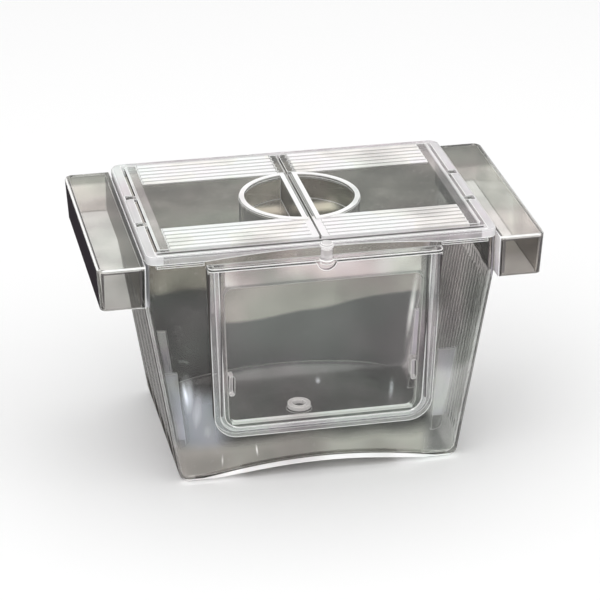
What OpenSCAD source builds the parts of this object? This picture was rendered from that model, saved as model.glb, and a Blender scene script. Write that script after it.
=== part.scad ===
// Floating fish breeding box: a clear tapered tank carried by two hollow floats,
// with a slide-up front door and a lid of two hinged flaps.
// Millimetres, +Z up, +X right, -Y is the door side.
// The origin is the middle of the box's outline, on the surface that it stands on.

/* [Tank] */
// Height of the tank's top edge, level with the tops of the floats
tank_h = 112; // [100:1:125]
// Outer width of the tank at the top
top_w = 158; // [148:1:170]
// Outer width of the tank at the bottom
bottom_w = 128.4; // [116:0.2:138]
// Outer depth of the tank at the top
top_d = 106.4; // [98:1:112]
// Outer depth of the tank at the bottom
bottom_d = 98.7; // [90:0.1:104]
// Height at which the tapered side walls become upright
taper_h = 92; // [82:1:96]
// Thickness of the moulded walls
wall = 1.8; // [1.4:0.1:2.4]
// Radius of the tank's upright corners
corner_r = 7; // [5:0.5:10]
// Radius of the bottom edge all round
bottom_r = 5; // [4:0.5:7]
// Rise of the vaulted floor between its two feet
vault_rise = 5.9; // [2:0.1:6.5]
// Half the span of the vault, from the middle to a foot
vault_half = 54; // [48:1:55]

/* [Floats] */
// Overall width over both floats
float_span = 200; // [188:1:216]
// Depth of each float, front to rear
float_d = 111.4; // [108.6:0.2:116]
// Height of each float
float_h = 19.8; // [14:0.1:24]
// Radius of the float's upright corners
float_r = 4; // [2.5:0.5:7]
// How far the float's outer walls lean in towards their lower edge
float_draft = 1.2; // [0.4:0.1:2]

/* [Water slots] */
// Number of upright slots in each side wall
slot_n = 22; // [8:1:22]
// Distance from slot to slot
slot_pitch = 3.8; // [3.4:0.1:3.9]
// Width of a slot, too narrow for young fish
slot_w = 1.1; // [0.8:0.1:1.5]
// Height at which the slots begin
slot_z0 = 15; // [12:1:30]
// Height at which the slots end
slot_z1 = 87; // [60:1:88]

/* [Inner fins] */
// Distance of the fins from the middle, front and rear
fin_y = 22; // [12:1:34]
// Height of the flat top of each fin
fin_top = 43; // [25:1:60]
// Distance from the middle of the tank to the inner edge of a fin's top
fin_x = 61; // [57:0.5:63]
// Thickness of a fin
fin_t = 1.8; // [1.2:0.1:3]

/* [Window and door] */
// Width of the window in the front wall, carried on to the upper end of the track
window_w = 90.4; // [70:0.2:91]
// Lower edge of the window, along the wall
window_z0 = 30.4; // [28:0.2:45]
// Upper edge of the window, along the wall
window_z1 = 98; // [85:1:100]
// Corner radius of the window
window_r = 4; // [2:0.5:8]
// Outer width of the U-shaped door track at its upper end
track_w = 104.8; // [100:0.2:106]
// How much the sides of track, door and window lean in for each millimetre down
door_lean = 0.035; // [0:0.005:0.04]
// Lowest point of the door track, along the wall
track_z0 = 25; // [19:0.5:26]
// Upper end of the door track, along the wall
track_z1 = 108.6; // [98:0.1:108.6]
// Outer radius of the track's lower corners
track_r = 11; // [8:1:14]
// Thickness of the sliding door
door_t = 1.6; // [1.2:0.1:2]
// Height of the lip along the door's top edge, measured up from its underside
lip_t = 1.6; // [1:0.1:2]
// How far the lip stands out in front of the door
lip_reach = 3.4; // [2:0.1:5]
// Radius of the upright pull peg
peg_r = 3.2; // [2.5:0.1:4]
// Height of the top of the pull peg, along the wall
peg_z1 = 118.2; // [114:0.1:119]
// How far the door slides up before its hooks meet the window's upper corners
door_travel = 41; // [10:1:41]

/* [Lid frame] */
// Height of the top of the lid above the floats
lid_rise = 3.9; // [3.6:0.1:5]
// Outer width of the lid frame
lid_w = 157; // [150:0.2:172]
// Outer depth of the lid frame
lid_d = 109.4; // [109.2:0.2:110]
// Corner radius of the lid frame
lid_r = 5; // [3:0.5:8]
// Radius of the round edge along the top of the lid frame
lid_edge = 1.3; // [0.4:0.1:2]
// Width of the frame's side rails
side_rail = 4.5; // [4.3:0.1:5]
// Width of the frame's front rail
front_rail = 6.9; // [6.5:0.1:8]
// Width of the frame's rear rail
rear_rail = 4.5; // [4.4:0.1:6]
// How far the front and rear skirts reach down over the tank walls, from the top of the lid
skirt_drop = 4.1; // [4:0.1:4.4]
// Depth of the trough along the front rail, which lets a fingernail in under the flaps
trough_depth = 0.8; // [0.4:0.1:0.9]
// Rise of the finger scoop in the front skirt
scoop_rise = 2.6; // [1:0.1:2.8]

/* [Flaps] */
// Thickness of the flaps
flap_t = 1.8; // [1.4:0.1:2]
// Gap round each flap
flap_gap = 0.5; // [0.4:0.1:0.8]
// Gap along the hinged edge, which shows as a dark slot
hinge_gap = 1.5; // [1.2:0.1:2]
// Outer radius of the round finger well that the two flaps share
well_r = 27.3; // [20:0.1:27.5]
// How far the middle of the well lies behind the middle of the lid
well_mid = -1.4; // [-4:0.1:2]
// Depth of the well below the top of the flap
well_depth = 13; // [8:0.5:16]
// Width of the raised rim round each half well
rim_w = 2.2; // [1.6:0.1:3]
// Height of the raised rim above the flap
rim_rise = 0.9; // [0.4:0.1:1.2]
// Distance from the middle line to the straight wall of each half well
well_split = 1.8; // [1.5:0.1:5]
// Distance of the hinge knuckles from the middle of the hinge, front and rear
knuckle_y = 15.6; // [10:0.2:34]
// How far the middle of the hinge lies behind the middle of the lid
hinge_mid = -2.4; // [-6:0.1:6]
// Radius of the moulded hinge pins
pin_r = 0.9; // [0.7:0.1:1]
// Number of air slots in each row
air_n = 5; // [3:1:5]
// Distance between air slots
air_pitch = 4; // [3.6:0.1:4.2]
// Width of an air slot
air_w = 1.1; // [0.8:0.1:1.3]
// Rise of the round ribs between the air slots
rib_rise = 0.5; // [0.3:0.1:0.7]

/* [Hidden] */
$fn = 48;
clear_col = [0.80, 0.82, 0.80, 0.55];
float_col = [0.84, 0.86, 0.85, 0.55];
lid_col = [0.90, 0.92, 0.90, 0.60];
door_col = [0.78, 0.80, 0.77, 0.60];
// Gap kept between pieces that move against each other
clear_gap = 0.3;
slant_front = atan((top_d - bottom_d) / 2 / tank_h);
slant_side = atan((top_w - bottom_w) / 2 / taper_h);
lid_top = tank_h + lid_rise;
skirt_z = lid_top - skirt_drop;
skirt_t = 1.1;
rail_t = 1.8;
well_t = 1.7;
// The front and rear walls reach up into the groove of the lid frame
wall_top = lid_top - rail_t - clear_gap;
ledge_reach = 1.3;
pad_t = 1.6;
door_y = -(pad_t + clear_gap);
track_y = door_y - door_t - clear_gap;
track_face = track_y - 0.8;
peg_y = door_y - peg_r - 0.4;
door_w = track_w - 5.8;
lip_z = track_z1 + clear_gap;
boss_r = 4.6;
lip_r = 2.4;
hook_z = 45;
// At the top of their travel the hooks still clear the round upper corners of the window
hook_h = window_z1 - 2.5 - door_travel - hook_z;
// The whole outline runs from the peg's front to the floats' rear walls
front_reach = bottom_d / 2 + sin(slant_front) * (peg_z1 - 0.7) - (peg_y - peg_r) * cos(slant_front);
shift_y = (front_reach - float_d / 2) / 2;
flap_x1 = lid_w / 2 - side_rail - hinge_gap;
// The flaps lie a little nearer the rear, because the front rail is the wider one
flap_mid = (front_rail - rear_rail) / 2;
flap_y = (lid_d - front_rail - rear_rail) / 2 - flap_gap;
air_x0 = 3.9;
air_x1 = flap_x1 - 5.7;
pin_x = lid_w / 2 - 3.1;
pin_z = lid_top - flap_t + 0.05;

// Half width of the tank's outside at height z
function half_w(z) = z < taper_h ? (bottom_w + (top_w - bottom_w) * z / taper_h) / 2 : top_w / 2;
// Half depth of the tank's outside at height z
function half_d(z) = (bottom_d + (top_d - bottom_d) * z / tank_h) / 2;

// Moves a sub-part from the tank's own middle to the shared origin
module seat() {
    translate([0, shift_y, 0]) children();
}

// Stands children on the sloping front wall: y = 0 is its outer face, z runs up along it
module on_front() {
    translate([0, -bottom_d / 2, 0]) rotate([slant_front, 0, 0]) children();
}

// Flat rectangle with round corners, centred on x, from z0 to z1
module round_panel(w, z0, z1, r) {
    translate([-w / 2 + r, z0]) square([w - 2 * r, z1 - z0]);
    translate([-w / 2, z0 + r]) square([w, z1 - z0 - 2 * r]);
    for (x = [-1, 1], z = [z0 + r, z1 - r]) translate([x * (w / 2 - r), z]) circle(r);
}

// Half width at height z of a panel that is w wide at the upper end of the track
function lean_x(w, z) = w / 2 - door_lean * (track_z1 - z);

// Flat panel with leaning sides, r0 the radius of its lower corners and r1 of its upper ones
module leaning_panel(w, z0, z1, r0, r1) {
    c0 = lean_x(w, z0 + r0) - r0 / cos(atan(door_lean));
    x1 = lean_x(w, z1) - r1;
    hull() {
        for (x = [-c0, c0]) translate([x, z0 + r0]) circle(r0, $fn = 96);
        polygon([[-x1, z1], [x1, z1], [0, z0 + r0]]);
        if (r1 > 0) for (x = [-1, 1]) translate([x * (x1 - door_lean * r1), z1 - r1]) circle(r1, $fn = 96);
    }
}

module window_outline() {
    leaning_panel(window_w, window_z0, window_z1, window_r, window_r);
}

// Turns a flat outline into an upright plate between the depths y0 and y1, y0 in front
module upright(y0, y1) {
    translate([0, y1, 0]) rotate([90, 0, 0]) linear_extrude(y1 - y0) children();
}

// Rectangle with round corners, centred, extruded from z0 to z1
module slab(w, d, r, z0, z1) {
    translate([0, 0, z0]) linear_extrude(z1 - z0) translate([0, -d / 2]) round_panel(w, 0, d, r);
}

// Tapered form of the tank, drawn in by t on every side
module tank_form(t, z0, z1) {
    r0 = bottom_r - t / 2;
    r1 = corner_r - t / 2;
    hull() {
        for (x = [-1, 1], y = [-1, 1]) {
            translate([x * (half_w(z0 + r0) - t - r0 / cos(slant_side)),
                       y * (half_d(z0 + r0) - t - r0 / cos(slant_front)), z0 + r0]) sphere(r0, $fn = 32);
            translate([x * (half_w(taper_h) - t - r1), y * (half_d(taper_h) - t - r1), taper_h - 0.1])
                cylinder(r = r1, h = 0.1, $fn = 64);
        }
    }
    hull() {
        for (x = [-1, 1], y = [-1, 1]) {
            translate([x * (half_w(taper_h) - t - r1), y * (half_d(taper_h) - t - r1), taper_h - 0.1])
                cylinder(r = r1, h = 0.1, $fn = 64);
            translate([x * (half_w(z1) - t - r1), y * (half_d(z1) - t - r1), z1 - 0.1])
                cylinder(r = r1, h = 0.1, $fn = 64);
        }
    }
}

// Long round bar along Y whose top is the vault of the floor, raised by lift
module vault(lift) {
    r = (vault_half * vault_half / vault_rise + vault_rise) / 2;
    translate([0, 0, vault_rise - r]) rotate([90, 0, 0])
        cylinder(r = r + lift, h = bottom_d + 20, center = true, $fn = 180);
}

// Fin that stands out from a side wall, with its flat top; side is -1 or 1
module fin(side, y) {
    translate([0, y + fin_t / 2, 0]) rotate([90, 0, 0]) linear_extrude(fin_t) scale([side, 1])
        polygon([[fin_x - 3, 1], [half_w(0) - 3.1, 1], [half_w(4) - 1.1, 4],
                 [half_w(fin_top) - wall / 2, fin_top], [fin_x, fin_top]]);
}

// One row of upright water slots through a side wall
module water_slots(side) {
    for (i = [0 : slot_n - 1]) {
        y = (i - (slot_n - 1) / 2) * slot_pitch;
        translate([side * half_w(0), y, 0]) rotate([0, side * slant_side, 0])
            translate([0, 0, slot_z0]) upright_slot(slot_z1 - slot_z0);
    }
}

// Slot with round ends that passes through the wall along X
module upright_slot(h) {
    rotate([90, 0, 90]) linear_extrude(10, center = true) {
        translate([-slot_w / 2, slot_w / 2]) square([slot_w, h - slot_w]);
        for (z = [slot_w / 2, h - slot_w / 2]) translate([0, z]) circle(slot_w / 2, $fn = 16);
    }
}

module tank() {
    color(clear_col) seat() {
        difference() {
            tank_form(0, 0, wall_top);
            difference() {
                tank_form(wall, wall, wall_top + 1);
                vault(wall + 0.4);
            }
            vault(0);
            // The side walls stop at the floats' tops, and only the long walls enter the lid
            for (x = [-1, 1]) translate([x * top_w / 2 - 8, -top_d, tank_h]) cube([16, 2 * top_d, 10]);
            on_front() upright(-8, 8) window_outline();
            water_slots(-1);
            water_slots(1);
        }
        for (side = [-1, 1], y = [-1, 1]) fin(side, y * fin_y);
        floor_ring();
        rim_ledges();
    }
}

// Narrow ledges outside the long walls, just below the skirts of the lid
module rim_ledges() {
    x1 = top_w / 2 - corner_r + 2;
    gap_x = track_w / 2 + 0.8;
    for (side = [-1, 1]) scale([side, 1, 1])
        translate([gap_x, -half_d(tank_h) - ledge_reach, tank_h - 2]) cube([x1 - gap_x, ledge_reach + 1, 1.2]);
    translate([-x1, half_d(tank_h) - 1, tank_h - 2]) cube([2 * x1, ledge_reach + 1, 1.2]);
}

// Raised ring with a blind well in the middle of the floor
module floor_ring() {
    z0 = vault_rise + wall * 0.5;
    translate([0, 0, z0]) difference() {
        cylinder(r1 = 6.2, r2 = 5.4, h = 4);
        translate([0, 0, 2]) cylinder(r = 3.2, h = 4);
    }
}

// Inverted open tray that traps air beside the tank; side is -1 or 1
module float_tray(side) {
    z0 = tank_h - float_h;
    x0 = top_w / 2;
    scale([side, 1, 1]) difference() {
        hull() {
            float_layer(x0, float_draft, z0);
            float_layer(x0, 0, tank_h - 1.2);
            float_layer(x0, 0.3, tank_h - 0.4);
            float_layer(x0, 0.9, tank_h - 0.05);
        }
        hull() {
            float_layer(x0 + wall, float_draft + wall, z0 - 1);
            float_layer(x0 + wall, wall, tank_h - wall - 0.05);
        }
    }
}

// Thin level outline of a float at height z, from x0 outwards, drawn in by t on the other sides
module float_layer(x0, t, z) {
    x1 = float_span / 2 - t;
    y1 = float_d / 2 - t;
    r = max(1.2, float_r - t);
    translate([0, 0, z]) linear_extrude(0.05) {
        translate([x0, -y1]) square([x1 - x0 - r, 2 * y1]);
        for (y = [-1, 1]) translate([x1 - r, y * (y1 - r)]) circle(r);
    }
}

module left_float() {
    color(float_col) seat() float_tray(-1);
}

module right_float() {
    color(float_col) seat() float_tray(1);
}

// U-shaped track round the window: a pad behind the door and a grooved ridge beside it
module door_track() {
    color(clear_col) seat() on_front() {
        difference() {
            upright(-pad_t, 0) leaning_panel(track_w, track_z0, track_z1, track_r, 0);
            upright(-8, 8) window_outline();
        }
        difference() {
            upright(track_face, -pad_t) leaning_panel(track_w, track_z0, track_z1, track_r, 0);
            upright(track_y, 1) door_outline(clear_gap);
            upright(track_face - 1, 1) leaning_panel(door_w - 4, track_z0 + 4.8, track_z1 + 1, track_r - 4, 0);
        }
    }
}

// Outline of the door, grown by g
module door_outline(g) {
    leaning_panel(door_w + 2 * g, track_z0 + 2.9 - g, lip_z + 1, track_r - 2.5, 0);
}

module front_door() {
    color(door_col) seat() on_front() {
        upright(door_y - door_t, door_y) door_outline(0);
        lip();
        for (x = [-1, 1]) hook(x);
    }
}

// Lip along the top of the door, with a half round apron under the peg
module lip() {
    y0 = door_y - door_t - lip_reach;
    translate([0, 0, lip_z]) linear_extrude(lip_t) {
        translate([-track_w / 2 + lip_r, y0]) square([track_w - 2 * lip_r, lip_reach + door_t]);
        translate([-track_w / 2, y0 + lip_r]) square([track_w, lip_reach + door_t - lip_r]);
        for (x = [-1, 1]) translate([x * (track_w / 2 - lip_r), y0 + lip_r]) circle(lip_r);
    }
    // Round foot under the peg, which stands a little in front of the lip
    translate([0, peg_y, lip_z]) cylinder(r = peg_r, h = lip_t);
    upright(y0, door_y - door_t) intersection() {
        translate([0, lip_z + 1]) circle(boss_r);
        translate([-boss_r, lip_z - boss_r]) square([2 * boss_r, boss_r + 0.8]);
    }
}

// Hook that passes through the window and grips behind its edge; side is -1 or 1
module hook(side) {
    x0 = side * (lean_x(window_w, hook_z) - 1.5);
    upright(door_y - 0.2, wall + 1.5) translate([x0, 0])
        round_panel(2.2, hook_z, hook_z + hook_h, 0.9);
    upright(wall + clear_gap, wall + 1.5) translate([x0 + side * 1.4, 0])
        round_panel(5, hook_z, hook_z + hook_h, 1.4);
}

// Upright round peg that the door is lifted by
module door_pull() {
    z0 = lip_z + lip_t;
    color(door_col) seat() on_front() translate([0, peg_y, z0]) {
        rotate_extrude()
            polygon([[0, 0], [peg_r, 0], [peg_r - 0.5, 1.4], [peg_r - 0.5, peg_z1 - z0 - 2.4],
                     [peg_r, peg_z1 - z0 - 1.6], [peg_r, peg_z1 - z0 - 0.7], [peg_r - 0.7, peg_z1 - z0],
                     [0, peg_z1 - z0]]);
    }
}

// Notches and pins of the hinges on one side rail
module hinge_notches(side) {
    for (y = [-1, 1])
        translate([side * (pin_x - 0.1) - 2.1, hinge_mid + y * knuckle_y - 2.4, tank_h - 2]) cube([4.2, 4.8, 8]);
}

module hinge_pins(side) {
    for (y = [-1, 1])
        translate([side * pin_x, hinge_mid + y * knuckle_y, pin_z]) rotate([90, 0, 0])
            cylinder(r = pin_r, h = 6.8, center = true);
}

module lid_frame() {
    in_w = lid_w - 2 * side_rail;
    in_d = lid_d - front_rail - rear_rail;
    groove_w = top_w - 14.8;
    groove_d = [3.8, 2.5];
    color(lid_col) seat() {
        difference() {
            union() {
                frame_block();
                skirts();
            }
            // Main opening for the flaps, above a narrow ledge at the front and rear
            translate([0, flap_mid, 0]) slab(in_w, in_d, 1, lid_top - flap_t - clear_gap, lid_top + 1);
            translate([0, flap_mid, 0]) slab(in_w, in_d - 4, 1, tank_h - 1, lid_top);
            translate([0, -lid_d / 2 + front_rail / 2 + 1.2, 0])
                slab(in_w, front_rail, 1, lid_top - trough_depth, lid_top + 1);
            // Groove for the top of each long wall
            for (i = [0, 1])
                translate([0, (2 * i - 1) * (lid_d / 2 - skirt_t - groove_d[i] / 2), skirt_z - 1])
                    linear_extrude(lid_top - rail_t - skirt_z + 1) square([groove_w, groove_d[i]], center = true);
            scoop();
            hinge_notches(-1);
            hinge_notches(1);
        }
        hinge_pins(-1);
        hinge_pins(1);
        // Short locating ribs inside the tank's side walls
        for (x = [-1, 1])
            translate([x * (top_w / 2 - wall - 1.4) - 0.7, hinge_mid - 11, tank_h - 4]) cube([1.4, 22, 5.7]);
    }
}

// Outer block of the lid frame, with its round top edge
module frame_block() {
    hull() {
        $fn = 32;
        for (s = [[0, tank_h + clear_gap], [0, lid_top - lid_edge], [0.3, lid_top - 0.5], [1, lid_top - 0.1]])
            slab(lid_w - 2 * s[0] * lid_edge, lid_d - 2 * s[0] * lid_edge, lid_r - s[0] * lid_edge,
                 s[1], s[1] + 0.1);
    }
}

// Front and rear skirts that hang between the floats, over the outside of the tank walls
module skirts() {
    skirt_x = top_w / 2 - clear_gap;
    intersection() {
        difference() {
            slab(lid_w, lid_d, lid_r, skirt_z, tank_h + 0.5);
            slab(lid_w - 2 * skirt_t, lid_d - 2 * skirt_t, lid_r - skirt_t, skirt_z - 1, tank_h + 1);
        }
        for (y = [-1, 1]) translate([0, y * (lid_d / 2 - 1.5), 0]) slab(2 * skirt_x, 4.4, 0.2, skirt_z - 1, tank_h + 1);
    }
}

// Shallow arch cut from the lower edge of the front skirt over the door
module scoop() {
    half = track_w / 2;
    r = (half * half / scoop_rise + scoop_rise) / 2;
    translate([0, -lid_d / 2, skirt_z + scoop_rise - r]) rotate([90, 0, 0])
        cylinder(r = r, h = 2 * skirt_t + 1.4, center = true, $fn = 240);
}

// One flap, drawn for the right-hand side
module flap() {
    difference() {
        union() {
            flap_plate();
            translate([0, well_mid, 0]) half_round(well_r, well_split, lid_top - well_depth, lid_top);
            knuckles();
        }
        translate([0, well_mid, 0]) {
            half_round(well_r - well_t, well_split + well_t, lid_top - well_depth + well_t, lid_top + 2);
            // Finger notch behind the well, shared with the other flap
            translate([-1, well_r + 0.3, lid_top - flap_t - 1]) cube([4.6, 2.2, 4]);
        }
        for (y = [-1, 1])
            translate([pin_x, hinge_mid + y * knuckle_y, pin_z]) rotate([90, 0, 0])
                cylinder(r = pin_r + 0.06, h = 5, center = true);
    }
    translate([0, well_mid, 0]) well_rim();
}

// Plate of the flap with its two rows of air slots
module flap_plate() {
    z0 = lid_top - flap_t;
    translate([0, flap_mid, 0]) difference() {
        union() {
            translate([(flap_x1 + flap_gap) / 2, 0, 0]) slab(flap_x1 - flap_gap, 2 * flap_y, 1.5, z0, lid_top);
            for (side = [-1, 1]) air_ribs(side);
        }
        for (side = [-1, 1]) air_slots(side);
    }
}

// Half cylinder on the right of the plane x = x0
module half_round(r, x0, z0, z1) {
    intersection() {
        translate([0, 0, z0]) cylinder(r = r, h = z1 - z0, $fn = 120);
        translate([x0, -r - 1, z0]) cube([r, 2 * r + 2, z1 - z0]);
    }
}

// Raised rim along the edge of the half well
module well_rim() {
    difference() {
        half_round(well_r, well_split, lid_top - 0.5, lid_top + rim_rise);
        half_round(well_r - rim_w, well_split + rim_w, lid_top - 1, lid_top + rim_rise + 1);
    }
}

// Hinge knuckles that reach over the slot and clip round the frame's pins
module knuckles() {
    for (y = [-1, 1]) {
        translate([flap_x1 - 1, hinge_mid + y * knuckle_y - 1.8, pin_z - 0.05])
            cube([pin_x - flap_x1 + 1, 3.6, flap_t - 0.2]);
        translate([pin_x, hinge_mid + y * knuckle_y, pin_z]) rotate([90, 0, 0])
            cylinder(r = pin_r + 0.7, h = 3.6, center = true);
    }
}

// Distance of the air slot i from the middle of the flap; side -1 is the front row
function slot_y(side, i) = side * (flap_y - 3.3 - i * air_pitch);

// Row of long air slots across a flap
module air_slots(side) {
    for (i = [0 : air_n - 1]) {
        translate([0, slot_y(side, i), lid_top - flap_t - 1]) linear_extrude(flap_t + 2) {
            translate([air_x0, -air_w / 2]) square([air_x1 - air_x0, air_w]);
            for (x = [air_x0, air_x1]) translate([x, 0]) circle(air_w / 2, $fn = 16);
        }
    }
}

// Low round ribs on both sides of every air slot
module air_ribs(side) {
    half = (air_pitch - air_w) / 2 + 0.12;
    r = (half * half / rib_rise + rib_rise) / 2;
    intersection() {
        for (i = [-0.5 : 1 : air_n])
            translate([air_x0, slot_y(side, i), lid_top + rib_rise - r]) rotate([0, 90, 0])
                cylinder(r = r, h = air_x1 - air_x0);
        translate([air_x0, -flap_y, lid_top - 0.3]) cube([air_x1 - air_x0, 2 * flap_y, 1.3]);
    }
}

module left_flap() {
    color(lid_col) seat() mirror([1, 0, 0]) flap();
}

module right_flap() {
    color(lid_col) seat() flap();
}

tank();
left_float();
right_float();
door_track();
front_door();
door_pull();
lid_frame();
left_flap();
right_flap();
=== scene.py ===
"""Looks of a clear floating fish breeding box, dressed over its packed construction.

The frame of the part is in metres: +Z up, +X right, and the sliding door faces -Y.
"""
import logging
import math
from dataclasses import dataclass
from enum import Enum
from typing import Optional, Union

import bpy
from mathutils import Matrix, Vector

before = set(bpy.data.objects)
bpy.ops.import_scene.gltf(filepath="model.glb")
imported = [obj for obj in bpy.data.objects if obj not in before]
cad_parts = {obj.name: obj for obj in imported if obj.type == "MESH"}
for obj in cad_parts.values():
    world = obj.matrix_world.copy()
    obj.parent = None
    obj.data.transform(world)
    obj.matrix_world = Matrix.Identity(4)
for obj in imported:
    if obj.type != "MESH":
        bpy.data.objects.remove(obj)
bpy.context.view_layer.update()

MM = 0.001

Colour = tuple[float, float, float]
Point = tuple[float, float, float]
Range = tuple[float, float]
Span = Optional[Range]
Socket = bpy.types.NodeSocket
Value = Union[float, Colour, Socket]

WHITE = (0.95, 0.95, 0.94)
LAVENDER = (0.84, 0.82, 0.88)
BLUISH = (0.80, 0.84, 0.92)
BRIGHTEST = (0.98, 0.98, 0.98)

# The vaulted underside of the floor, in millimetres
VAULT_RISE = 5.9
VAULT_HALF = 54.0
# Millimetres that a side wall leans outwards for each millimetre of height
WALL_LEAN = 0.161

# Scales of the noise textures
CLOUD_SCALE = 30.0
CLOUD_ROUGHNESS = 0.45
HUE_SCALE = 24.0
GLINT_SCALE = 420.0
GRAIN_SCALE = 260.0
RIPPLE_SCALE = 40.0
# The ranges of noise over which each effect grows
CLOUD_RANGE = (0.3, 0.7)
HUE_RANGE = (0.38, 0.62)
GLINT_RANGE = (0.64, 0.72)
FLECK_RANGE = (0.30, 0.70)
RIPPLE_RANGE = (0.2, 0.8)
# The two faint hues that the plastic wanders between
ROSY = (1.0, 0.97, 0.985)
GREENISH = (0.97, 1.0, 0.985)
# How much of a painted reflection stays between its flecks, and how far the flecks are drawn out
# upwards
FLECK_LOW = 0.65
GRAIN_STRETCH = (1.0, 1.0, 0.15)

# How far the normal has turned where an edge's painted highlight starts and where it is full
EDGE_RANGE = (0.004, 0.05)
BEVEL_SAMPLES = 8
# Half the soft border of a painted outline highlight, in millimetres
OUTLINE_SOFT = 0.25

# The facing weight at which the painted shade starts and at which it is full
GRAZING_RANGE = (0.76, 0.84)
# The painted shade of the stretch that lies nearer the middle than the full painted shade
MILD_SHADE = (0.34, 0.33, 0.31)
# The painted shade of a ribbed wall comes and goes once in this many ribs, between these strengths
RIBS_PER_SHADE = 5.0
SHADE_WAVE_RANGE = (-0.2, 0.9)
SHADE_STRENGTHS = (0.6, 2.6)

# Roughness between the ripples and on them, and on an edge
ROUGHNESS = (0.02, 0.06)
EDGE_ROUGHNESS = 0.25
SPECULAR = 0.5
# Strength of the ripples and ribs, and their depth in millimetres
RIPPLE_STRENGTH = 0.08
RIPPLE_DEPTH = 0.8
RIB_STRENGTH = 0.7
RIB_DEPTH = 0.4

log = logging.getLogger("breeding_box")


class Slot(Enum):
    """The record's material slots."""

    TANK = "clear_tank"
    DOOR = "clear_door"
    LID = "clear_lid"


class MixKind(Enum):
    """The kinds of Mix node: its data type, and the places of its two inputs and its result."""

    COLOUR = ("RGBA", 6, 7, 2)
    NUMBER = ("FLOAT", 2, 3, 0)


class NodeGraph:
    """A material's node tree, with short calls to add nodes and to join them."""

    def __init__(self, name: str) -> None:
        """Start an empty tree.

        Args:
            name: Name of the material.
        """
        self.material = bpy.data.materials.new(name)
        self.material.use_nodes = True
        self.tree = self.material.node_tree
        self.tree.nodes.clear()

    def add(self, kind: str, settings: Optional[dict] = None, **sockets: Value) -> bpy.types.Node:
        """Add one node.

        Args:
            kind: Blender's node type, without the ShaderNode prefix.
            settings: Properties of the node itself.
            **sockets: Inputs by name, with underscores for spaces.

        Returns:
            The new node.
        """
        node = self.tree.nodes.new("ShaderNode" + kind)
        for key, value in (settings or {}).items():
            setattr(node, key, value)
        for key, value in sockets.items():
            self.feed(node.inputs[key.replace("_", " ")], value)
        return node

    def feed(self, socket: Socket, value: Value) -> None:
        """Join an output socket to an input, or set the input's own value.

        Args:
            socket: The input.
            value: An output socket, a number or a colour.
        """
        if isinstance(value, Socket):
            self.tree.links.new(value, socket)
        elif isinstance(value, tuple) and socket.type == "RGBA":
            socket.default_value = (*value, 1.0)
        else:
            socket.default_value = value

    def maths(self, operation: str, *values: Value) -> Socket:
        """Add a Math node.

        Args:
            operation: Blender's name of the operation.
            *values: The inputs, in order.

        Returns:
            The result's socket.
        """
        node = self.add("Math", {"operation": operation})
        for socket, value in zip(node.inputs, values):
            self.feed(socket, value)
        return node.outputs[0]

    def vector(self, operation: str, *values: Value, result: str = "Vector") -> Socket:
        """Add a Vector Math node.

        Args:
            operation: Blender's name of the operation.
            *values: The inputs, in order.
            result: Name of the output that is wanted.

        Returns:
            The result's socket.
        """
        node = self.add("VectorMath", {"operation": operation})
        for socket, value in zip(node.inputs, values):
            self.feed(socket, value)
        return node.outputs[result]

    def noise(self, place: Socket, scale: float, detail: float = 2.0,
              roughness: float = 0.5) -> Socket:
        """Add a noise texture.

        Args:
            place: The coordinates.
            scale: Scale of the noise.
            detail: Number of finer layers.
            roughness: Strength of the finer layers.

        Returns:
            A value that is about 0.5 on average.
        """
        node = self.add("TexNoise", Vector=place, Scale=scale, Detail=detail, Roughness=roughness)
        return node.outputs["Fac"]

    def ramp(self, value: Value, start: float, end: float, low: Value = 0.0,
             high: Value = 1.0) -> Socket:
        """Map a value smoothly from start..end to low..high.

        Args:
            value: The value that is mapped.
            start: The value that gives low.
            end: The value that gives high.
            low: Result at start.
            high: Result at end.

        Returns:
            The result's socket.
        """
        node = self.add("MapRange", {"interpolation_type": "SMOOTHSTEP"})
        numbers = {"Value": value, "From Min": start, "From Max": end, "To Min": low,
                   "To Max": high}
        for name, number in numbers.items():
            self.feed(node.inputs[name], number)
        return node.outputs[0]

    def mix(self, share: Value, first: Value, second: Value, kind: MixKind = MixKind.COLOUR,
            blend_type: str = "MIX") -> Socket:
        """Mix two colours, or two numbers, by a share.

        Args:
            share: 0 gives the first value and 1 the second.
            first: A colour or a number.
            second: A colour or a number.
            kind: What is mixed.
            blend_type: Blender's name of the way the two are joined.

        Returns:
            The result's socket.
        """
        data_type, first_place, second_place, result = kind.value
        node = self.add("Mix", {"data_type": data_type, "blend_type": blend_type})
        for place, value in ((0, share), (first_place, first), (second_place, second)):
            self.feed(node.inputs[place], value)
        return node.outputs[result]

    def scale(self, colour: Value, factor: Value) -> Socket:
        """Multiply a colour by a number, and keep it below white.

        Args:
            colour: The colour.
            factor: The number.

        Returns:
            The new colour's socket.
        """
        node = self.add("VectorMath", {"operation": "SCALE"}, Vector=colour, Scale=factor)
        return self.vector("MINIMUM", node.outputs[0], BRIGHTEST)

    def output(self, surface: Socket) -> bpy.types.Material:
        """Join the surface to the output, and return the finished material."""
        self.add("OutputMaterial", Surface=surface)
        return self.material


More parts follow.
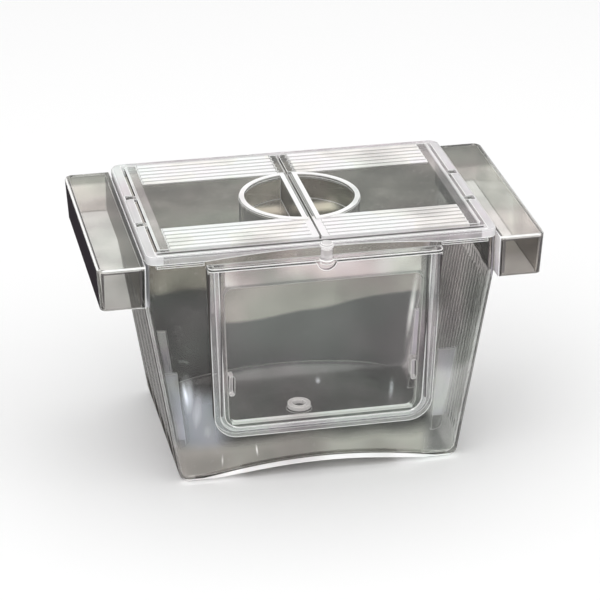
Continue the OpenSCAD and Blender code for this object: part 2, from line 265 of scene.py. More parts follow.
class Coat:
    """The surface of a material as it is so far, while one layer after another is laid on it.

    Attributes:
        graph: The material's node tree.
        place: The coordinates of a point in the frame of the part, in metres.
        axes: The same coordinates, one by one.
        cloud: Cloudy noise, about 0.5 on average.
        colour: Colour of the surface.
        scatter: Share of the surface that scatters light.
        painted_glow: Painted light that the surface gives off, though it is no lamp.
    """

    def __init__(self, name: str, colour: Colour, scatter: float) -> None:
        """Start with an even surface that gives off no light.

        Args:
            name: Name of the material.
            colour: Colour of the surface.
            scatter: Share of the surface that scatters light.
        """
        self.graph = NodeGraph(name)
        self.place = self.graph.add("TexCoord").outputs["Object"]
        self.axes = list(self.graph.add("SeparateXYZ", Vector=self.place).outputs)
        self.cloud = self.graph.noise(self.place, CLOUD_SCALE, roughness=CLOUD_ROUGHNESS)
        self.colour: Value = colour
        self.scatter: Value = scatter
        self.painted_glow: Value = 0.0

    def tint(self, mask: Socket, colour: Value) -> None:
        """Turn the surface to a colour where the mask is 1."""
        self.colour = self.graph.mix(mask, self.colour, colour)

    def fade_painted_glow(self, mask: Socket, painted_glow: float) -> None:
        """Change the painted light to another value where the mask is 1."""
        self.painted_glow = self.graph.mix(mask, self.painted_glow, painted_glow, MixKind.NUMBER)

    def cover(self, mask: Socket, colour: Colour, scatter: float, painted_glow: float) -> None:
        """Lay on a layer that hides what is under it.

        Args:
            mask: 1 where the layer is, and 0 elsewhere.
            colour: The layer's colour.
            scatter: Share of the layer that scatters light.
            painted_glow: Painted light that it gives off.
        """
        self.tint(mask, colour)
        self.scatter = self.graph.mix(mask, self.scatter, scatter, MixKind.NUMBER)
        self.fade_painted_glow(mask, painted_glow)

    def paint_highlight(self, mask: Socket, colour: Colour, scatter: float, painted_glow: float) -> None:
        """Lay on a painted highlight, a layer that never lowers the scattered light or the painted
        light.

        Args:
            mask: 1 where the layer is, and 0 elsewhere.
            colour: The layer's colour.
            scatter: Share of the layer that scatters light.
            painted_glow: Painted light that it gives off.
        """
        maths = self.graph.maths
        self.tint(mask, colour)
        self.scatter = maths("MAXIMUM", self.scatter, maths("MULTIPLY", mask, scatter))
        self.painted_glow = maths("MAXIMUM", self.painted_glow, maths("MULTIPLY", mask, painted_glow))


@dataclass(frozen=True)
class Zone:
    """A stretch of a piece with a tint of its own, often painted light or painted shade, in
    millimetres in the frame of the part.

    Attributes:
        tint: Tint in the zone.
        x: Stretch along X, or None for all of it.
        y: Stretch along Y.
        z: Stretch along Z.
        soft: Half the width of the zone's soft border.
        both: X counts from the middle to both sides.
        lean: Rise of the zone for each millimetre of X.
        tilt: Outward shift of the zone for each millimetre of Z.
        on_vault: Z counts from the vaulted underside of the floor.
        wave: How far the cloudy noise moves the upper and lower border.
        scatter: Share of the surface that scatters light.
        share: How strongly the zone covers what is under it.
        painted_glow: Painted light that the zone gives off.
    """

    tint: Colour
    x: Span = None
    y: Span = None
    z: Span = None
    soft: float = 0.4
    both: bool = False
    lean: float = 0.0
    tilt: float = 0.0
    on_vault: bool = False
    wave: float = 0.0
    scatter: float = 0.0
    share: float = 1.0
    painted_glow: float = 0.0

    def mask(self, coat: Coat) -> Value:
        """Build the mask of the zone.

        Args:
            coat: The surface that the zone lies on.

        Returns:
            A value that is the zone's share inside it and 0 outside.
        """
        maths, ramp = coat.graph.maths, coat.graph.ramp
        across, depth, height = coat.axes
        if self.both:
            across = maths("ABSOLUTE", across)
        if self.tilt:
            across = maths("MULTIPLY_ADD", height, -self.tilt, across)
        if self.lean:
            height = maths("MULTIPLY_ADD", coat.axes[0], -self.lean, height)
        if self.on_vault:
            bend = VAULT_RISE / (VAULT_HALF ** 2 * MM)
            square = maths("POWER", coat.axes[0], 2.0)
            arch = maths("MULTIPLY_ADD", square, -bend, VAULT_RISE * MM)
            height = maths("SUBTRACT", height, maths("MAXIMUM", arch, 0.0))
        if self.wave:
            swing = maths("SUBTRACT", coat.cloud, 0.5)
            height = maths("MULTIPLY_ADD", swing, self.wave * MM, height)
        result: Value = self.share
        soft = self.soft * MM
        for value, span in ((across, self.x), (depth, self.y), (height, self.z)):
            if span is not None:
                low, high = span[0] * MM, span[1] * MM
                result = maths("MULTIPLY", result, ramp(value, low - soft, low + soft))
                result = maths("MULTIPLY", result, ramp(value, high + soft, high - soft))
        return result

    def lay(self, coat: Coat) -> None:
        """Cover a surface with the zone."""
        coat.cover(self.mask(coat), self.tint, self.scatter, self.painted_glow)


@dataclass(frozen=True)
class PaintedOutline:
    """The twelve edges of a box, painted with a white highlight as on a moulding with round edges.

    Attributes:
        x: Stretch of the box along X, counted to both sides, in millimetres.
        y: Stretch along Y.
        z: Stretch along Z.
        width: Width of the painted white highlight on each side of an edge.
    """

    x: Range
    y: Range
    z: Range
    width: float

    def mask(self, coat: Coat) -> Socket:
        """Build the mask of the edges.

        Args:
            coat: The surface that the edges lie on.

        Returns:
            A value that is 1 where two faces of the box are near, and 0 elsewhere.
        """
        maths, ramp = coat.graph.maths, coat.graph.ramp
        soft = OUTLINE_SOFT * MM
        # Counts the faces that are near, less one, so that a single face gives 0
        total: Value = -1.0
        places = (maths("ABSOLUTE", coat.axes[0]), *coat.axes[1:])
        for value, span in zip(places, (self.x, self.y, self.z)):
            low, high = (span[0] + self.width) * MM, (span[1] - self.width) * MM
            total = maths("ADD", total, ramp(value, low + soft, low - soft))
            total = maths("ADD", total, ramp(value, high - soft, high + soft))
        return maths("MINIMUM", maths("MAXIMUM", total, 0.0), 1.0)


@dataclass(frozen=True)
class PaintedReflection:
    """A soft pale streak of painted reflection, standing in for the light that gathers in a round
    corner, in millimetres.

    Attributes:
        middle: Its middle, in the frame of the part.
        along: Half its length, as a vector along it.
        width: Half its width.
        strength: Share of the surface that it turns pale.
        colour: Its colour.
        painted_glow: Painted light that it gives off.
    """

    middle: Point
    along: Point
    width: float
    strength: float
    colour: Colour
    painted_glow: float

    def mask(self, coat: Coat) -> Socket:
        """Build the mask of the streak.

        Args:
            coat: The surface that the streak lies on.

        Returns:
            A value that is the strength in the streak's middle and falls to 0 at its border.
        """
        maths, vector = coat.graph.maths, coat.graph.vector
        length = Vector(self.along).length
        middle = tuple(value * MM for value in self.middle)
        offset = vector("SUBTRACT", coat.place, middle)
        direction = tuple(Vector(self.along) / length)
        run = vector("DOT_PRODUCT", offset, direction, result="Value")
        run = maths("POWER", maths("ABSOLUTE", run), 2.0)
        off = maths("POWER", vector("LENGTH", offset, result="Value"), 2.0)
        off = maths("SUBTRACT", off, run)
        far = maths("ADD", maths("DIVIDE", run, (length * MM) ** 2),
                    maths("DIVIDE", off, (self.width * MM) ** 2))
        return coat.graph.ramp(maths("SQRT", far), 1.0, 0.0, 0.0, self.strength)


# The outer face of the side walls, where the ribs between the water slots are
RIBBED_WALL = Zone(WHITE, x=(60.5, 67.0), tilt=WALL_LEAN, both=True, y=(-40.0, 46.0),
                   z=(12.0, 90.0), soft=1.0)


@dataclass(frozen=True)
class ClearPlastic:
    """Clear moulded styrene with a smoky tint, whose edges read white with painted highlights.

    Attributes:
        name: Name of the material.
        tint: What one wall leaves of the light that comes through it.
        haze: Share of the plain surface that scatters light.
        mottle: How far the cloudy noise lightens and darkens the tint.
        painted_glints: How strongly small painted glints in the plastic shine.
        ior: Index of refraction.
        edge: Colour of the painted highlight on the edges.
        edge_width: Width of the painted highlight along an edge, in millimetres.
        edge_scatter: Share of an edge that scatters light.
        edge_painted_glow: Painted light that the edges give off.
        shade: Painted shade that the plastic takes where it is seen almost along its face.
        shade_from: Millimetres from the middle beyond which that painted shade is full, or 0 for
            all over.
        rib_pitch: Distance between the upright ribs of the side walls, or 0 for none.
        zones: Stretches with a tint of their own, often painted light or painted shade.
        painted_reflections: Pale stripes of painted reflection.
        painted_outlines: Boxes whose edges get a painted white highlight.
        lines: Thin dark lines laid over the edges.
    """

    name: str
    tint: Colour = (0.50, 0.50, 0.48)
    haze: float = 0.03
    mottle: float = 0.25
    painted_glints: float = 0.0
    ior: float = 1.4
    edge: Colour = (0.94, 0.94, 0.93)
    edge_width: float = 0.8
    edge_scatter: float = 0.9
    edge_painted_glow: float = 0.06
    shade: Colour = (0.10, 0.095, 0.09)
    shade_from: float = 0.0
    rib_pitch: float = 0.0
    zones: tuple[Zone, ...] = ()
    painted_reflections: tuple[PaintedReflection, ...] = ()
    painted_outlines: tuple[PaintedOutline, ...] = ()
    lines: tuple[Zone, ...] = ()

    def material(self) -> bpy.types.Material:
        """Build the node material, one layer after another.

        Returns:
            The new material.
        """
        coat = Coat(self.name, self.tint, self.haze)
        for zone in self.zones:
            zone.lay(coat)
        self._cloud_over(coat)
        self._lay_painted_reflections(coat)
        edge = self._edge_highlight_mask(coat)
        coat.paint_highlight(edge, self.edge, self.edge_scatter, self.edge_painted_glow)
        for line in self.lines:
            line.lay(coat)
        grazing = self._shade_over(coat)
        return self._finished(coat, edge, grazing)

    def _cloud_over(self, coat: Coat) -> None:
        """Let the tint wander a little in tone and hue, and add small painted glints.

        Args:
            coat: The surface.
        """
        graph = coat.graph
        tone = graph.ramp(coat.cloud, *CLOUD_RANGE, 1.0 - self.mottle, 1.0 + self.mottle)
        hue = graph.ramp(graph.noise(coat.place, HUE_SCALE), *HUE_RANGE)
        coat.colour = graph.mix(1.0, graph.scale(coat.colour, tone), graph.mix(hue, ROSY, GREENISH),
                                blend_type="MULTIPLY")
        if self.painted_glints:
            glint_noise = graph.noise(coat.place, GLINT_SCALE)
            glint_mask = graph.ramp(glint_noise, *GLINT_RANGE, 0.0, self.painted_glints)
            coat.paint_highlight(glint_mask, WHITE, 1.0, 0.0)

    def _lay_painted_reflections(self, coat: Coat) -> None:
        """Lay the pale painted reflections, if there are any. They are a little flecked.

        Args:
            coat: The surface.
        """
        if not self.painted_reflections:
            return
        graph = coat.graph
        drawn = graph.vector("MULTIPLY", coat.place, GRAIN_STRETCH)
        grain = graph.noise(drawn, GRAIN_SCALE, detail=3.0)
        flecks = graph.ramp(grain, *FLECK_RANGE, FLECK_LOW, 1.0)
        for streak in self.painted_reflections:
            mask = graph.maths("MULTIPLY", streak.mask(coat), flecks)
            coat.paint_highlight(mask, streak.colour, 1.0, streak.painted_glow)

    def _edge_highlight_mask(self, coat: Coat) -> Socket:
        """Find where edges get a painted highlight: where a rounded normal turns away from the true
        one, and along the painted box edges.

        Args:
            coat: The surface.

        Returns:
            A value that is 1 on an edge and falls to 0 an edge's width away from it.
        """
        graph = coat.graph
        bevel = graph.add("Bevel", {"samples": BEVEL_SAMPLES}, Radius=self.edge_width * MM)
        flat = graph.add("NewGeometry").outputs["True Normal"]
        turn = graph.vector("DOT_PRODUCT", bevel.outputs[0], flat, result="Value")
        away = graph.maths("SUBTRACT", 1.0, graph.maths("ABSOLUTE", turn))
        edge = graph.ramp(away, *EDGE_RANGE)
        for painted_outline in self.painted_outlines:
            edge = graph.maths("MAXIMUM", edge, painted_outline.mask(coat))
        return edge

    def _shade_over(self, coat: Coat) -> Socket:
        """Paint shade on the plastic where it is seen almost along its face.

        Args:
            coat: The surface.

        Returns:
            A value that is 1 where it is seen so, and 0 elsewhere.
        """
        graph = coat.graph
        facing = graph.add("LayerWeight", Blend=0.5).outputs["Facing"]
        grazing = graph.ramp(facing, *GRAZING_RANGE)
        shade: Value = self.shade
        if self.shade_from:
            outward = graph.maths("ABSOLUTE", coat.axes[0])
            outer = graph.ramp(outward, (self.shade_from - 1.0) * MM, self.shade_from * MM)
            shade = graph.mix(outer, MILD_SHADE, self.shade)
        elif self.rib_pitch:
            wave = self._rib_wave(coat, RIBS_PER_SHADE)
            shade = graph.scale(self.shade, graph.ramp(wave, *SHADE_WAVE_RANGE, *SHADE_STRENGTHS))
        coat.tint(grazing, shade)
        coat.scatter = graph.maths("MAXIMUM", coat.scatter, grazing)
        coat.fade_painted_glow(grazing, 0.0)
        return grazing

    def _rib_wave(self, coat: Coat, ribs: float) -> Socket:
        """Return a sine along Y that repeats once in so many ribs."""
        turns = math.tau / (ribs * self.rib_pitch * MM)
        return coat.graph.maths("SINE", coat.graph.maths("MULTIPLY", coat.axes[1], turns))

    def _finished(self, coat: Coat, edge: Socket, grazing: Socket) -> bpy.types.Material:
        """Give the surface its ripples and ribs, and join it to the output.

        Args:
            coat: The surface, with all its layers.
            edge: Mask of the edges, which are a little rougher.
            grazing: Mask of the stretches that are seen almost along their face.

        Returns:
            The new material.
        """
        graph = coat.graph
        ripple = graph.noise(coat.place, RIPPLE_SCALE, detail=1.0)
        bump = graph.add("Bump", Strength=RIPPLE_STRENGTH, Distance=RIPPLE_DEPTH * MM,
                         Height=ripple)
        if self.rib_pitch:
            height = graph.maths("MULTIPLY", self._rib_wave(coat, 1.0), RIBBED_WALL.mask(coat))
            ribs = graph.add("Bump", Strength=RIB_STRENGTH, Distance=RIB_DEPTH * MM, Height=height)
            graph.feed(bump.inputs["Normal"], ribs.outputs[0])
        rough = graph.maths("MAXIMUM", graph.ramp(ripple, *RIPPLE_RANGE, *ROUGHNESS),
                            graph.maths("MULTIPLY", edge, EDGE_ROUGHNESS))
        # The emission gives off the painted light of the layers above; the plastic is no lamp
        surface = graph.add(
            "BsdfPrincipled", Base_Color=coat.colour, Roughness=rough, IOR=self.ior,
            Transmission_Weight=graph.maths("SUBTRACT", 1.0, coat.scatter), Normal=bump.outputs[0],
            Emission_Color=graph.scale(coat.colour, coat.painted_glow), Emission_Strength=1.0,
            Specular_IOR_Level=graph.ramp(grazing, 0.0, 1.0, SPECULAR, 0.0))
        return graph.output(surface.outputs[0])


@dataclass(frozen=True)
class PaleFloor:
    """Matt off-white studio floor.

    Attributes:
        name: Name of the material.
        colour: Its colour.
        roughness: Its roughness.
    """

    name: str = "pale_floor"
    colour: Colour = (0.96, 0.96, 0.96)
    roughness: float = 0.9

    def material(self) -> bpy.types.Material:
        """Build the node material.

        Returns:
            The new material.
        """
        graph = NodeGraph(self.name)
        surface = graph.add("BsdfPrincipled", Base_Color=self.colour, Roughness=self.roughness)
        return graph.output(surface.outputs[0])


def dress(node: str, finish: bpy.types.Material, slot: Slot) -> None:
    """Give one piece of the construction its finish.

    Args:
        node: Name of the piece.
        finish: Its material.
        slot: The record's slot that it stands for; not used.
    """
    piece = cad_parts[node]
    for place in piece.material_slots:
        place.material = finish
    log.info("dressed %s with %s", node, finish.name)


# The upright corners between the front and the floats
CORNERS = Zone(LAVENDER, x=(76.8, 79.6), both=True, y=(-60.0, -45.0), z=(90.0, 113.0),
               scatter=0.5, soft=0.3)
# Height of the fins inside the side walls
FIN_HEIGHT = (9.0, 43.4)

TANK_ZONES = (
    # The rear wall darkened with painted shade, and its lower part darker still
    Zone((0.38, 0.36, 0.33), y=(45.0, 70.0), z=(20.0, 130.0), soft=2.0),
    Zone((0.12, 0.12, 0.12), y=(45.0, 70.0), z=(-9.0, 34.0), lean=0.09, wave=5.0, soft=0.8),
    Zone((0.16, 0.16, 0.16), x=(-80.0, -32.0), y=(45.0, 70.0), z=(-9.0, 50.0), wave=10.0,
         soft=2.0),
    # The floor
    Zone((0.50, 0.49, 0.49), y=(-44.0, 49.0), z=(-1.0, 12.0), scatter=0.16, soft=2.0, wave=4.0),
    # The rear part of the right side wall, paler with painted light
    Zone((0.90, 0.87, 0.92), x=(58.0, 67.0), tilt=WALL_LEAN, y=(26.0, 49.0), z=(45.0, 86.0),
         scatter=0.2, soft=3.0, painted_glow=0.10),
    # The left end of the front wall, pale and bluish with painted reflection
    Zone((0.74, 0.76, 0.82), x=(-66.0, -44.0), y=(-60.0, -40.0), z=(14.0, 48.0), scatter=0.28,
         soft=7.0, wave=20.0),
    # The side walls
    Zone((0.66, 0.64, 0.64), x=(60.5, 67.0), tilt=WALL_LEAN, both=True, y=(-44.0, 49.0),
         scatter=0.08),
    # The top of the front wall, at its left end and over the doorway
    Zone((0.66, 0.64, 0.60), x=(-90.0, -40.0), y=(-70.0, -44.0), z=(96.0, 130.0), wave=10.0,
         soft=3.0),
    Zone((0.92, 0.91, 0.89), x=(-52.0, 52.0), y=(-70.0, -42.0), z=(86.0, 130.0), soft=0.5),
    # The bottom of the front wall, lightened with painted light, and its right end
    Zone((0.74, 0.73, 0.67), x=(-70.0, 70.0), y=(-70.0, -42.0), z=(-1.0, 20.0), wave=16.0,
         soft=5.0, scatter=0.34, painted_glow=0.03),
    Zone((0.74, 0.73, 0.72), x=(49.0, 80.0), y=(-70.0, -40.0), z=(5.0, 50.0), wave=16.0,
         soft=4.0, scatter=0.12),
    # The rear fins and the front fins, pale with painted light
    Zone(LAVENDER, x=(52.0, 75.0), both=True, y=(24.0, 26.4), z=FIN_HEIGHT, scatter=0.45,
         soft=0.2, painted_glow=0.15),
    Zone(LAVENDER, x=(52.0, 75.0), both=True, y=(-20.0, -17.6), z=FIN_HEIGHT, scatter=0.45,
         soft=0.2, painted_glow=0.15),
    CORNERS,
    # The band over the doorway, and its sill, both with painted light; the sill is a white painted
    # highlight
    Zone((0.95, 0.92, 0.88), x=(-44.0, 44.0), y=(-60.0, -44.0), z=(98.4, 106.5), scatter=0.3,
         soft=0.4, painted_glow=0.30),
    Zone(WHITE, x=(-41.5, 41.5), y=(-60.0, -44.0), z=(29.9, 31.0), scatter=0.9, soft=0.2,
         painted_glow=0.45),
    # The ring in the floor as a white painted highlight, and its well dark with painted shade
    Zone(WHITE, x=(-6.0, 6.0), y=(-2.8, 9.2), z=(9.0, 13.0), scatter=0.55, soft=0.2, painted_glow=0.35),
    Zone((0.2, 0.2, 0.2), x=(-2.2, 2.2), y=(1.0, 5.4), z=(8.0, 13.0), soft=0.4),
    # The lower edge of the front wall, with a dark line over it, and the feet's round corners, both
    # white with painted highlight
    Zone((0.30, 0.30, 0.28), x=(-58.0, 58.0), y=(-60.0, -45.0), z=(2.6, 4.6), on_vault=True,
         soft=0.5, share=0.7),
    Zone(WHITE, y=(-60.0, -45.2), z=(-1.0, 2.4), on_vault=True, scatter=0.85, soft=0.3,
         painted_glow=0.25),
    Zone(WHITE, x=(36.0, 80.0), both=True, y=(-60.0, -41.2), z=(-1.0, 2.3), on_vault=True,
         scatter=0.85, soft=0.3, painted_glow=0.25),
)
# Painted reflections and highlights of the light on the tank's walls and floor
TANK_PAINTED_REFLECTIONS = (
    # The left end of the front wall
    PaintedReflection((-61.0, -47.6, 44.0), (-1.2, 0.0, 16.0), 5.0, 0.7, BLUISH, 0.12),
    PaintedReflection((-62.2, -47.6, 47.0), (-1.4, 0.0, 9.0), 1.6, 1.0, BLUISH, 0.7),
    PaintedReflection((-57.0, -47.6, 36.0), (0.6, 0.0, 18.0), 5.0, 0.6, LAVENDER, 0.08),
    PaintedReflection((-53.0, -47.4, 26.0), (2.0, 0.0, 12.0), 8.0, 0.4, LAVENDER, 0.05),
    # Two short painted highlights low on the front wall
    PaintedReflection((-45.6, -46.8, 10.5), (0.0, 0.0, 5.0), 0.8, 0.9, WHITE, 0.5),
    PaintedReflection((-29.8, -46.8, 14.5), (-0.6, 0.0, 5.0), 0.8, 0.9, WHITE, 0.5),
    # The floor
    PaintedReflection((14.9, 30.0, 7.4), (1.2, 6.0, 0.0), 2.0, 0.9, BLUISH, 0.5),
    PaintedReflection((49.4, 22.9, 3.0), (5.2, 18.0, -1.0), 1.8, 0.8, BLUISH, 0.6),
    # The rear right corner and the right side wall
    PaintedReflection((66.3, 50.7, 33.0), (3.8, 0.9, 27.0), 2.4, 1.0, WHITE, 1.0),
    PaintedReflection((66.0, 20.0, 20.0), (3.0, 3.0, 16.0), 6.0, 0.4, LAVENDER, 0.1),
    PaintedReflection((66.0, -24.0, 22.0), (3.0, 3.0, 18.0), 7.0, 0.5, LAVENDER, 0.1),
)

# The sill of the doorway as a white painted highlight, and dark lines along both edges of the
# track's upright runs
TRACK_ZONES = (
    Zone(WHITE, x=(-41.5, 41.5), z=(30.0, 31.4), scatter=0.75, soft=0.2, painted_glow=0.3),
)
TRACK_LINES = (
    Zone((0.08, 0.07, 0.07), x=(51.3, 53.0), both=True, z=(36.0, 107.0), soft=0.2, scatter=0.7),
    Zone((0.16, 0.15, 0.15), x=(46.2, 46.9), both=True, z=(36.0, 107.0), soft=0.2, scatter=0.5),
)

FLOAT_ZONES = (
    # Painted shade on the rear of both tops
    Zone((0.20, 0.20, 0.18), x=(78.0, 101.0), y=(30.0, 60.0), z=(109.0, 113.0), soft=3.0,
         share=0.85),
    Zone((0.25, 0.25, 0.23), x=(-101.0, -78.0), y=(46.0, 60.0), z=(109.0, 113.0), soft=2.0,
         share=0.8),
    # Painted shade on both fronts, darker on the right
    Zone((0.16, 0.15, 0.13), x=(78.0, 98.6), y=(-54.4, -50.0), z=(90.0, 110.2), soft=0.4),
    Zone((0.40, 0.38, 0.36), x=(-98.6, -78.0), y=(-54.4, -50.0), z=(90.0, 110.2), soft=0.4),
    CORNERS,
)
# A dark line runs round three sides of a float's front
FLOAT_LINE = (0.10, 0.09, 0.09)
FLOAT_FRONT = (-54.4, -51.0)
FLOAT_LINES = (
    Zone(FLOAT_LINE, x=(80.5, 98.2), both=True, y=FLOAT_FRONT, z=(109.8, 110.6), soft=0.2,
         scatter=0.5),
    Zone(FLOAT_LINE, x=(97.2, 98.2), both=True, y=FLOAT_FRONT, z=(94.0, 110.6), soft=0.2,
         scatter=0.5),
    Zone(FLOAT_LINE, x=(80.6, 81.8), both=True, y=FLOAT_FRONT, z=(94.0, 110.8), soft=0.2,
         scatter=0.5),
)
# Painted white highlights on the edges of the floats
FLOAT_PAINTED_OUTLINE = PaintedOutline((60.0, 100.0), (-52.5, 58.9), (92.2, 112.0), 0.8)

# Painted highlights on the snap hooks of the door, and on the top of its peg
DOOR_ZONES = (
    Zone(WHITE, x=(38.0, 46.0), both=True, y=(-49.2, -40.0), z=(38.0, 60.0), scatter=0.3,
         soft=0.2, painted_glow=0.12),
)
PEG_ZONES = (
    Zone(WHITE, z=(115.5, 120.0), scatter=0.4, soft=0.8, painted_glow=0.14),
)

FRAME_ZONES = (
    # The front rail, with a white painted highlight along it
    Zone((0.84, 0.82, 0.83), y=(-53.0, -45.4), z=(105.0, 117.0), soft=0.3, scatter=0.28),
    Zone(WHITE, y=(-48.6, -47.6), z=(114.0, 117.0), soft=0.2, scatter=0.7),
    # The side rails, pale, with a little painted light
    Zone((0.96, 0.93, 0.95), x=(71.0, 80.0), both=True, z=(105.0, 117.0), soft=0.3, scatter=0.5,
         painted_glow=0.04),
)
# Painted shade in the dark trough behind the front rail
FRAME_TROUGH_SHADE = (
    Zone((0.06, 0.06, 0.055), x=(-73.0, 73.0), y=(-47.2, -45.9), z=(112.0, 117.0), soft=0.2,
         scatter=0.6),
)
# Painted white highlights on the frame's edges; only the outer sides, the front, the rear and the
# top of this box lie on the frame
FRAME_PAINTED_OUTLINE = PaintedOutline((-200.0, 78.5), (-51.5, 57.9), (60.0, 115.9), 0.5)

# Painted highlight that makes the ribs read white
RIB_HIGHLIGHT = (0.96, 0.955, 0.91)
FLAP_ZONES = (
    # The front and rear rows of ribs, white with painted highlight
    Zone(RIB_HIGHLIGHT, x=(0.0, 67.4), both=True, y=(-44.4, -21.3), z=(113.5, 117.0), scatter=0.8,
         soft=0.3, painted_glow=0.04),
    Zone(RIB_HIGHLIGHT, x=(4.4, 67.4), both=True, y=(30.0, 53.2), z=(113.5, 117.0), scatter=0.8,
         soft=0.3, painted_glow=0.04),
    # The hinged edge, with a white painted highlight
    Zone((0.78, 0.76, 0.75), x=(67.6, 74.5), both=True, z=(113.0, 117.0), scatter=0.16, soft=0.3),
    Zone(WHITE, x=(71.2, 72.4), both=True, z=(113.0, 117.0), scatter=0.7, soft=0.2),
    # White painted highlights on the rims of the finger wells, and painted light on their rear
    # walls
    Zone(WHITE, z=(116.45, 119.0), scatter=0.8, soft=0.1, painted_glow=0.12),
    Zone((0.90, 0.85, 0.72), x=(5.0, 20.0), both=True, y=(10.0, 20.0), z=(99.0, 106.0), wave=3.0,
         scatter=0.55, soft=3.5, painted_glow=0.22),
)


@dataclass
class Tank:
    """The tank moulding: shell, two floats and the track of the door.

    Attributes:
        shell: Finish of the shell.
        track: Finish of the track.
        floats: Finish of both floats.
    """

    shell: ClearPlastic = ClearPlastic(
        "tank_plastic", painted_glints=0.15, ior=1.2, rib_pitch=3.8, zones=TANK_ZONES,
        painted_reflections=TANK_PAINTED_REFLECTIONS)
    track: ClearPlastic = ClearPlastic(
        "track_plastic", tint=(0.92, 0.90, 0.92), haze=0.16, ior=1.2, zones=TRACK_ZONES,
        lines=TRACK_LINES)
    floats: ClearPlastic = ClearPlastic(
        "float_plastic", tint=(0.74, 0.72, 0.68), haze=0.08, edge_painted_glow=0.15,
        shade=(0.035, 0.03, 0.035), shade_from=97.5, zones=FLOAT_ZONES,
        painted_outlines=(FLOAT_PAINTED_OUTLINE,), lines=FLOAT_LINES)

    def build(self) -> None:
        """Dress the pieces of the moulding."""
        dress("tank", self.shell.material(), Slot.TANK)
        dress("door_track", self.track.material(), Slot.TANK)
        side = self.floats.material()
        for node in ("left_float", "right_float"):
            dress(node, side, Slot.TANK)


@dataclass
class FrontDoor:
    """The sliding door with its peg.

    Attributes:
        panel: Finish of the door.
        peg: Finish of the peg.
    """

    panel: ClearPlastic = ClearPlastic(
        "door_plastic", tint=(0.87, 0.87, 0.85), mottle=0.08, ior=1.3, edge_painted_glow=0.16,
        zones=DOOR_ZONES)
    peg: ClearPlastic = ClearPlastic(
        "peg_plastic", tint=(0.96, 0.96, 0.95), haze=0.30, mottle=0.3, edge_painted_glow=0.35,
        zones=PEG_ZONES)

    def build(self) -> None:
        """Dress the door and the peg."""
        dress("front_door", self.panel.material(), Slot.DOOR)
        dress("door_pull", self.peg.material(), Slot.DOOR)


@dataclass
class Lid:
    """The lid frame and its two hinged flaps.

    Attributes:
        frame_finish: Finish of the frame.
        flap_finish: Finish of both flaps.
    """

    frame_finish: ClearPlastic = ClearPlastic(
        "frame_plastic", tint=(0.93, 0.90, 0.91), haze=0.42, mottle=0.1, edge_width=1.0,
        shade=(0.45, 0.43, 0.44), zones=FRAME_ZONES, painted_outlines=(FRAME_PAINTED_OUTLINE,), lines=FRAME_TROUGH_SHADE)
    flap_finish: ClearPlastic = ClearPlastic(
        "flap_plastic", tint=(0.41, 0.42, 0.39), mottle=0.3, painted_glints=0.2, zones=FLAP_ZONES)

    def build(self) -> None:
        """Dress the frame and the flaps."""
        dress("lid_frame", self.frame_finish.material(), Slot.LID)
        flap = self.flap_finish.material()
        for node in ("left_flap", "right_flap"):
            dress(node, flap, Slot.LID)


@dataclass(frozen=True)
class SoftBox:
    """A square light that faces the object.

    Attributes:
        name: Name of the light.
        place: Where it hangs, in metres.
        size: Side of the square, in metres.
        power: Power in watts.
    """

    name: str
    place: Point
    size: float
    power: float


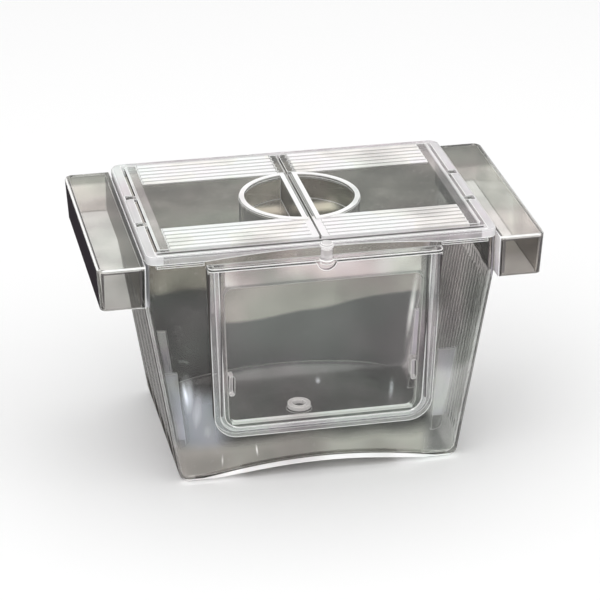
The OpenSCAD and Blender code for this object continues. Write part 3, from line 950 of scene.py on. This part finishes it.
@dataclass
class Studio:
    """Floor, lights and camera.

    Attributes:
        yaw: Turn of the camera about the upright, in degrees.
        elevation: Height of the camera over the horizon, in degrees.
        lens: Focal length in millimetres.
        sensor: Width of the sensor in millimetres.
        near: Nearest distance that the camera sees, in metres.
        distance: Distance of the camera from its target, in metres.
        target: What the camera and the lights face, in metres.
        floor_size: Side of the floor, in metres.
        world_strength: Strength of the even light of the room.
        lights: The soft boxes.
    """

    yaw: float = -11.926
    elevation: float = 25.012
    lens: float = 162.0
    sensor: float = 36.0
    near: float = 0.05
    distance: float = 1.2458
    target: Point = (0.000553, 0.00319, 0.063535)
    floor_size: float = 8.0
    world_strength: float = 0.72
    lights: tuple[SoftBox, ...] = (
        SoftBox("key_light", (-0.7, -0.5, 1.1), 1.3, 5.0),
        SoftBox("fill_light", (0.9, -0.6, 0.8), 1.2, 3.0),
        SoftBox("top_light", (0.1, 0.4, 1.4), 1.2, 4.0),
    )

    def build(self) -> None:
        """Build the stage."""
        self._floor()
        self._world()
        for light in self.lights:
            self._hang(light)
        self._camera()

    def _floor(self) -> None:
        """Lay the floor just under the feet."""
        half = self.floor_size / 2
        mesh = bpy.data.meshes.new("floor")
        corners = [(x * half, y * half, 0.0) for x, y in ((-1, -1), (1, -1), (1, 1), (-1, 1))]
        mesh.from_pydata(corners, [], [(0, 1, 2, 3)])
        mesh.materials.append(PaleFloor().material())
        floor = bpy.data.objects.new("floor", mesh)
        bpy.context.scene.collection.objects.link(floor)

    def _world(self) -> None:
        """Fill the room with an even pale light."""
        world = bpy.data.worlds.new("room")
        world.use_nodes = True
        background = world.node_tree.nodes["Background"]
        background.inputs["Color"].default_value = (1.0, 1.0, 1.0, 1.0)
        background.inputs["Strength"].default_value = self.world_strength
        bpy.context.scene.world = world

    def _hang(self, box: SoftBox) -> None:
        """Hang one light, and turn it to the object.

        Args:
            box: The light.
        """
        data = bpy.data.lights.new(box.name, "AREA")
        data.size = box.size
        data.energy = box.power
        light = bpy.data.objects.new(box.name, data)
        light.location = box.place
        way = Vector(self.target) - Vector(box.place)
        light.rotation_euler = way.to_track_quat("-Z", "Y").to_euler()
        bpy.context.scene.collection.objects.link(light)

    def _camera(self) -> None:
        """Set up the camera at the photograph's viewing angle."""
        data = bpy.data.cameras.new("camera")
        data.sensor_width = self.sensor
        data.lens = self.lens
        data.clip_start = self.near
        camera = bpy.data.objects.new("camera", data)
        turn, rise = math.radians(self.yaw), math.radians(self.elevation)
        flat = math.cos(rise)
        back = Vector((math.sin(turn) * flat, -math.cos(turn) * flat, math.sin(rise)))
        camera.location = Vector(self.target) + back * self.distance
        camera.rotation_mode = "QUATERNION"
        camera.rotation_quaternion = (-back).to_track_quat("-Z", "Y")
        bpy.context.scene.collection.objects.link(camera)
        bpy.context.scene.camera = camera


# Clear walls stand one behind another, so light is followed through many of them
CLEAR_BOUNCES = 24
GLOSSY_BOUNCES = 8


def main() -> None:
    """Build the looks of every sub-assembly and the studio."""
    logging.basicConfig(level=logging.INFO, format="%(message)s")
    scene = bpy.context.scene
    scene.view_settings.view_transform = "Standard"
    scene.cycles.max_bounces = CLEAR_BOUNCES
    scene.cycles.transmission_bounces = CLEAR_BOUNCES
    scene.cycles.glossy_bounces = GLOSSY_BOUNCES
    for part in (Tank(), FrontDoor(), Lid(), Studio()):
        part.build()
        log.info("built %s", type(part).__name__)


if __name__ == "__main__":
    main()
